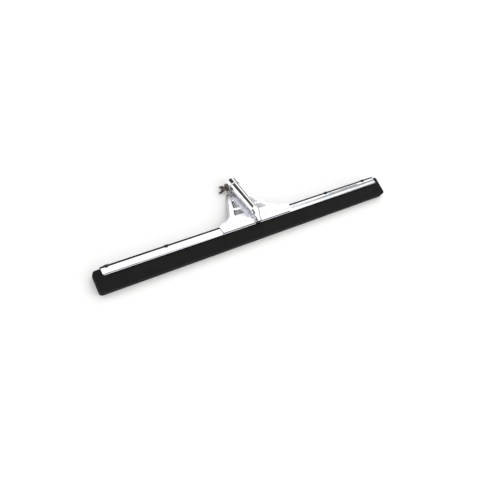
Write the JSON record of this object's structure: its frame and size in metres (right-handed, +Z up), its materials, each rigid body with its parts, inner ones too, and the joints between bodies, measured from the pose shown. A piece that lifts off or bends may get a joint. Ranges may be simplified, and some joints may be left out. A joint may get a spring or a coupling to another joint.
{
  "type": "squeegee head",
  "caption": "Wide squeegee head with a black double rubber blade in a folded steel rail and a windowed bracket with a clamp socket for a handle.",
  "frame": {"origin": "under the middle of the bounding box, on the surface the head lies on", "axes": "+X along the blade, +Y from the wiping edge towards the handle socket, +Z up from the surface, out of the front of the rail"},
  "size_m": [0.768, 0.1682, 0.0492],
  "materials": {
    "bright_zinc_sheet": "bright galvanised sheet, lightly brushed along its length",
    "pressed_zinc_sheet": "bright zinc-plated pressed sheet",
    "bright_plated_tube": "bright plated, mirror-like along the tube",
    "black_cellular_rubber": "matte black cellular rubber with a fine skin",
    "dull_zinc_casting": "dull warm grey plated casting",
    "plain_steel": "plain turned steel"
  },
  "bodies": {
    "head": {"front_rail": "bright_zinc_sheet", "back_rail": "bright_zinc_sheet", "front_rubber_strip": "black_cellular_rubber", "back_rubber_strip": "black_cellular_rubber", "bracket_plate": "pressed_zinc_sheet", "handle_socket": "bright_plated_tube", "clamp_collar": "bright_plated_tube", "screw_boss": "dull_zinc_casting", "bracket_rivet_1": "pressed_zinc_sheet", "bracket_rivet_2": "pressed_zinc_sheet", "bracket_rivet_3": "pressed_zinc_sheet", "bracket_rivet_4": "pressed_zinc_sheet", "bracket_rivet_5": "pressed_zinc_sheet", "bracket_rivet_6": "pressed_zinc_sheet", "collar_rivet": "plain_steel"},
    "pad": {"pressure_pad": "plain_steel"},
    "screw": {"wing_screw": "dull_zinc_casting"}
  },
  "joints": [
    {"name": "screw_travel", "type": "slide", "parent": "head", "child": "pad", "axis": [0.9903, 0.036, 0.1344], "range_m": [0, 0.004]},
    {"name": "screw_turn", "type": "hinge", "parent": "pad", "child": "screw", "pos_m": [0.003, 0.07142, 0.01637], "axis": [0.9903, 0.036, 0.1344], "range_deg": [0, 1440]}
  ],
  "couplings": [
    {"joint": "screw_travel", "follows": "screw_turn", "m_per_rad": 0.00015915}
  ]
}
